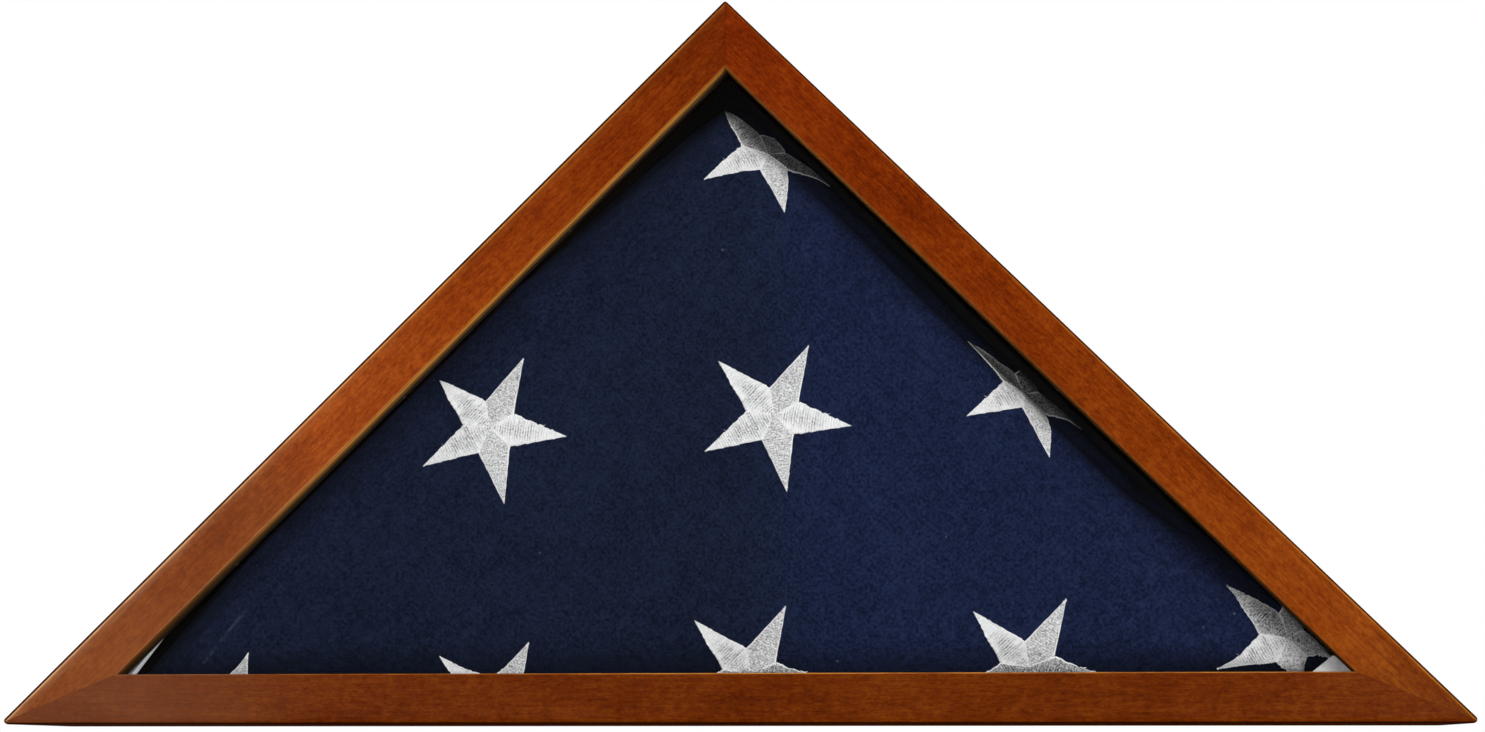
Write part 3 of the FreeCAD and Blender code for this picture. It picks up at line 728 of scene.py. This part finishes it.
def strayFibres(draw):
    # loose thread ends round the star, each a narrow bent ribbon
    look, tip = starLook, starLook["radius"]
    knee, kneeHalf = starKnee()
    bpy.ops.mesh.primitive_grid_add(x_subdivisions=3, y_subdivisions=look["fibres"] * 2 - 1, size=1)
    piece = bpy.context.object
    spots = points(piece)
    column = np.rint((spots[:, 0] + 0.5) * 3).astype(int)
    row = np.rint((spots[:, 1] + 0.5) * (look["fibres"] * 2 - 1)).astype(int)
    pick(piece)
    bpy.ops.object.mode_set(mode="EDIT")
    bpy.ops.mesh.select_all(action="DESELECT")
    bpy.ops.object.mode_set(mode="OBJECT")
    for face in piece.data.polygons:  # keep every other strip of the grid
        low = min(row[v] for v in face.vertices)
        face.select = low % 2 == 1
    bpy.ops.object.mode_set(mode="EDIT")
    bpy.ops.mesh.select_mode(type="FACE")
    bpy.ops.mesh.delete(type="ONLY_FACE")
    bpy.ops.mesh.select_mode(type="VERT")
    bpy.ops.object.mode_set(mode="OBJECT")
    made = np.zeros((len(piece.data.vertices), 3))
    rise = np.zeros(len(made))
    for fibre in range(look["fibres"]):
        arm = draw.choice((0, 1, 1, 2, 2, 3, 4, 4))
        turn = math.radians(look["firstTip"] + 72 * arm)
        s = draw.uniform(knee, tip * 0.98)
        sign = draw.choice((-1, 1))
        side = sign * kneeHalf * (tip - s) / (tip - knee)
        way = math.radians(draw.uniform(-55, 55))
        bend = math.radians(draw.uniform(-50, 50))
        size = look["fibreLength"] * draw.uniform(0.35, 1.1)
        spot = [s, side - sign * 0.0003]
        for k in range(4):
            heading = way + bend * k
            for j in (0, 1):
                width = (j - 0.5) * look["fibreWidth"] * (1.0 if k < 3 else 0.5)
                a = spot[0] + width * math.cos(heading)
                b = spot[1] + sign * width * math.sin(heading) * -1
                index = np.where((column == k) & (row == fibre * 2 + j))[0][0]
                made[index] = (a * math.cos(turn) - b * math.sin(turn), 0,
                               a * math.sin(turn) + b * math.cos(turn))
                rise[index] = 0.00025 + 0.00012 * k
            spot[0] += math.sin(heading) * size / 3
            spot[1] += sign * math.cos(heading) * size / 3
    setPoints(piece, made)
    finishArm(piece, np.full(len(made), 0.85), rise, np.full(len(made), look["fibreMark"]))
    return piece


def starMaster():
    draw = random.Random(11)
    bpy.ops.object.select_all(action="DESELECT")
    parts = [starArm(arm, draw) for arm in range(5)] + [strayFibres(draw)]
    bpy.ops.object.select_all(action="DESELECT")
    for piece in parts:
        piece.select_set(True)
    bpy.context.view_layer.objects.active = parts[0]
    bpy.ops.object.join()
    master = bpy.context.object
    master.name = "star_master"
    bpy.ops.object.mode_set(mode="EDIT")
    bpy.ops.mesh.select_all(action="SELECT")
    bpy.ops.mesh.flip_normals()  # the grids turned over when they were stood up
    bpy.ops.object.mode_set(mode="OBJECT")
    return master


def rollOver(spots, side):
    # cloth length past the start of the roll goes round a quarter turn, then straight back
    turns = np.linspace(0, math.pi / 2, 60)
    stand, roll, deep, crease = edgeOf(side, spots[:, 2])
    out = (roll - stand)[:, None] * np.sin(turns)
    back = deep[:, None] * (1 - np.cos(turns))
    used = np.cumsum(np.hypot(np.diff(out, prepend=0), np.diff(back, prepend=0)), axis=1)
    inset = railInset(spots, side)
    over = np.maximum(roll - inset, 0)
    place = np.clip((used < over[:, None]).sum(axis=1), 1, 59)
    line = np.arange(len(spots))
    low, high = used[line, place - 1], used[line, place]
    part = np.clip((over - low) / (high - low), 0, 1)
    outward = out[line, place - 1] + part * (out[line, place] - out[line, place - 1])
    backward = back[line, place - 1] + part * (back[line, place] - back[line, place - 1])
    slide(spots, side, np.where(over > 0, roll - outward - inset, 0))
    spots[:, 1] += backward + np.maximum(over - used[:, -1], 0)
    spots[:, 1] += crease * np.clip(over, 0, flagLook["creaseReach"])


def layStar(master, name, spot):
    # a copy is turned, moved to its place, rolled round the flag's edges and pressed onto the cloth
    star = master.copy()
    star.data = master.data.copy()
    star.name = star.data.name = name
    bpy.context.scene.collection.objects.link(star)
    px, pz, tilt = spot
    flat = points(star)
    arms = np.array([each.value for each in star.data.attributes["arm"].data])
    ownName = name.replace("_stitched", "")
    for arm, length in shortArms.get(ownName, {}).items():
        way = math.radians(starLook["firstTip"] + 72 * arm)
        axis = np.array((math.cos(way), 0, math.sin(way)))
        past = np.maximum(flat @ axis - starLook["waist"], 0) * (arms % starLook["cordMark"] == arm)
        flat += past[:, None] * (length - 1) * axis
    turn = math.radians(tilt)
    laid = np.empty_like(flat)
    laid[:, 0] = px / 1000 + flat[:, 0] * math.cos(turn) - flat[:, 2] * math.sin(turn)
    laid[:, 2] = pz / 1000 + flat[:, 0] * math.sin(turn) + flat[:, 2] * math.cos(turn)
    laid[:, 1] = flagLook["solidFront"] + 0.001
    for side in folds:
        rollOver(laid, side)
    setPoints(star, laid)
    press = star.modifiers.new("press", "SHRINKWRAP")
    press.target, press.wrap_method, press.wrap_mode = flag, "NEAREST_SURFACEPOINT", "ABOVE_SURFACE"
    press.offset = starLook["seat"]
    raised = star.modifiers.new("raise", "DISPLACE")
    raised.direction, raised.vertex_group, raised.mid_level = "NORMAL", "lift", 0.0
    body = star.modifiers.new("body", "SOLIDIFY")  # filled down to the cloth
    body.offset, body.vertex_group = -1.0, "lift"
    raised.strength = body.thickness = starLook["liftUnit"]
    applyAll(star)
    bpy.ops.object.shade_smooth_by_angle(angle=math.radians(75))
    star.vertex_groups.clear()
    tone, which = star.data.attributes["tone"], star.data.attributes["arm"]
    # painted shade on the arms that a fold turns away, none on their corded edges
    dull = foldShadedArms.get(ownName, {})
    for shade, arm in zip(tone.data, which.data):
        shade.value *= dull.get(arm.value, 1.0)
    star.data.attributes.remove(which)
    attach(star, "case")
    return star


threadLook = {"white": (0.945, 0.935, 0.95, 1), "gap": (0.02, 0.02, 0.022, 1)}


def threadFinish():
    f = Finish("whiteThread")
    spot = f.place()
    # tone carries the painted light and shade of the arms, grooves, folds and tuck facets
    tone = f.node("Attribute", {"attribute_name": "tone"}, out=2)
    speckle = f.noise(spot, 1250.0, 2.0, 0.65)
    cloud = f.noise(spot, 140.0, 2.0, 0.5)
    flat = f.step(tone, 0.9, 0.66)  # the greyer arms are the more speckled
    level = tone + (speckle - 0.5) * (0.55 + 1.5 * flat) + (cloud - 0.5) * 0.14
    colour = f.blend(level.clamp(), threadLook["gap"], threadLook["white"])
    return f.close(f.surface({"Base Color": colour, "Roughness": 0.6, "Specular IOR Level": 0.2,
                              "Normal": f.bump(speckle, 0.0001, 0.6)}))


starMould = starMaster()
stitchFinish = threadFinish()
starMould.data.materials.append(stitchFinish)
for starName, starSpot in starPlaces.items():
    made = layStar(starMould, starName.replace("_star", "_stitched_star"), starSpot)
    if starName in nodes:
        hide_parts(starName)
bpy.data.objects.remove(starMould)
print("stars stitched,", len(starPlaces))


# folded corners: white tips of the flag tucked in at the two ends of the base, each a peaked fold
tuckLook = {
    "rows": 10, "columns": 10, "thick": 0.0006, "fullness": 0.0004,
    # painted shade: the right facet is a little darker than the left and the ridge
    "paintedLight": {"left": 1.0, "ridge": 1.0, "right": 0.95},
    # x, y, z of each fold's peak, left foot, ridge foot and right foot; the feet stand on the bottom bead
    "right_corner_tuck": ((0.2640, -0.0288, 0.0297), (0.2540, -0.0286, 0.0220), (0.2645, -0.0303, 0.0220),
                          (0.2722, -0.0298, 0.0220)),
    "left_corner_tuck": ((-0.2535, -0.0232, 0.0428), (-0.2742, -0.0205, 0.0220), (-0.2705, -0.0242, 0.0220),
                         (-0.2692, -0.0226, 0.0220)),
}


def cornerTuck(name):
    look, paintedLight = tuckLook, tuckLook["paintedLight"]
    peak, leftFoot, ridgeFoot, rightFoot = (np.array(spot) for spot in look[name])
    bpy.ops.object.select_all(action="DESELECT")
    bpy.ops.mesh.primitive_grid_add(x_subdivisions=look["columns"], y_subdivisions=look["rows"], size=2)
    tuck = bpy.context.object
    tuck.name = tuck.data.name = name
    grid = points(tuck)
    across, down = grid[:, :1], np.maximum((1 - grid[:, 1:2]) / 2, 0.05)
    foot = np.where(across < 0, leftFoot + (1 + across) * (ridgeFoot - leftFoot),
                    ridgeFoot + across * (rightFoot - ridgeFoot))
    laid = peak + down * (foot - peak)
    laid[:, 1] -= look["fullness"] * np.sin(math.pi * down[:, 0]) * (1 - across[:, 0] ** 2)
    setPoints(tuck, laid)
    shade = np.where(across < 0, paintedLight["left"], paintedLight["right"])
    shade = np.where(np.abs(across) < 0.1, paintedLight["ridge"], shade)
    tone = tuck.data.attributes.new("tone", "FLOAT", "POINT")
    tone.data.foreach_set("value", shade.ravel().astype(np.float32))
    body = tuck.modifiers.new("body", "SOLIDIFY")
    body.thickness, body.offset = look["thick"], 0.0
    soften = tuck.modifiers.new("soften", "SUBSURF")
    soften.levels = soften.render_levels = 1
    applyAll(tuck)
    bpy.ops.object.shade_smooth()
    tuck.data.materials.append(stitchFinish)
    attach(tuck, "case")


for tuckName in ("right_corner_tuck", "left_corner_tuck"):
    cornerTuck(tuckName)
print("corners tucked")


# studio: pale floor that the low camera sees through from below, key from the right, fill from the left
studio = {
    "lamps": {  # where each stands, how wide it is and its power
        "key_light": ((2.4, -4.0, 1.0), 2.8, 164.0), "fill_light": ((-1.7, -4.4, 0.5), 2.2, 55.0),
        "side_light": ((4.2, -2.2, 0.1), 1.2, 30.0), "back_light": ((-1.6, 4.0, 2.4), 2.2, 150.0),
        "top_light": ((0.0, 0.7, 3.4), 2.4, 70.0),
    },
    "unmirrored": ("fill_light", "side_light"),  # they would show in the glass and the lacquer
    "aim": (0, 0, 0.13), "soft": 0.17,
    "floorSize": 14.0, "floorDrop": 0.0003, "floorColour": (0.86, 0.86, 0.85, 1),
    # the camera that a fit to the photograph's corners gives: place, turn in degrees and lens in millimetres
    "camera": {"location": (0.1094, -1.2445, -0.014), "turn": (98.08, -0.01, 4.83), "lens": 66.66},
}


def studioLight():
    for name, (spot, size, power) in studio["lamps"].items():
        bpy.ops.object.select_all(action="DESELECT")
        bpy.ops.object.light_add(type="AREA", location=spot)
        lamp = bpy.context.object
        lamp.name = name
        lamp.data.shape, lamp.data.size, lamp.data.energy = "DISK", size, power
        lamp.rotation_euler = (Vector(studio["aim"]) - lamp.location).to_track_quat("-Z", "Y").to_euler()
        lamp.visible_camera = False
        lamp.visible_glossy = name not in studio["unmirrored"]
    world = bpy.data.worlds.new("studio")
    bpy.context.scene.world = world
    f = Finish("", world)
    seen, glossy, through = f.node("LightPath", out=("Is Camera Ray", "Is Glossy Ray", "Is Transmission Ray"))
    x, y, _ = f.parts(f.node("TexCoord", out=0))
    # a dark card stands in front of the glass, so mirror rays see white only to the sides and behind
    card = 1 - f.step(y, -0.75, 0.0)
    mirror = 0.18 + 0.8 * (1 - card) + 0.3 * card * f.step(x, -0.2, -0.7)
    bright = (glossy + through).clamp()
    strength = seen + (1 - seen) * (bright * mirror + (1 - bright) * studio["soft"])
    f.close(f.node("Background", {}, {"Color": (1, 1, 1, 1), "Strength": strength}), "OutputWorld")


def studioFloor():
    bpy.ops.object.select_all(action="DESELECT")
    bpy.ops.mesh.primitive_plane_add(size=studio["floorSize"], location=(0, 0, -studio["floorDrop"]))
    floor = bpy.context.object
    floor.name = "studio_floor"
    floor.visible_diffuse = floor.visible_shadow = False  # the underside still gets the room's light
    f = Finish("paleFloor")
    x, y, _ = f.parts(f.place())
    far = f.step((x * x + y * y) ** 0.5, 0.5, 1.6)
    seen = f.node("LightPath", out="Is Camera Ray")
    under = f.node("NewGeometry", out=6)
    matt = f.surface({"Base Color": studio["floorColour"], "Roughness": 0.9, "Specular IOR Level": 0.1})
    white = f.node("Emission", {}, {"Color": (1, 1, 1, 1), "Strength": 1.0})
    shown = f.node("MixShader", {}, {0: far * seen, 1: matt, 2: white})
    clear = f.node("BsdfTransparent", {}, {"Color": (1, 1, 1, 1)})
    floor.data.materials.append(f.close(f.node("MixShader", {}, {0: under, 1: shown, 2: clear})))


def studioCamera():
    bpy.ops.object.select_all(action="DESELECT")
    look = studio["camera"]
    turn = [math.radians(angle) for angle in look["turn"]]
    bpy.ops.object.camera_add(location=look["location"], rotation=turn)
    camera = bpy.context.object
    camera.data.sensor_width, camera.data.lens = 36.0, look["lens"]
    camera.data.clip_start, camera.data.clip_end = 0.01, 50.0
    bpy.context.scene.camera = camera


studioLight()
studioFloor()
studioCamera()
bpy.context.scene.view_settings.view_transform = "Standard"
print("studio set")
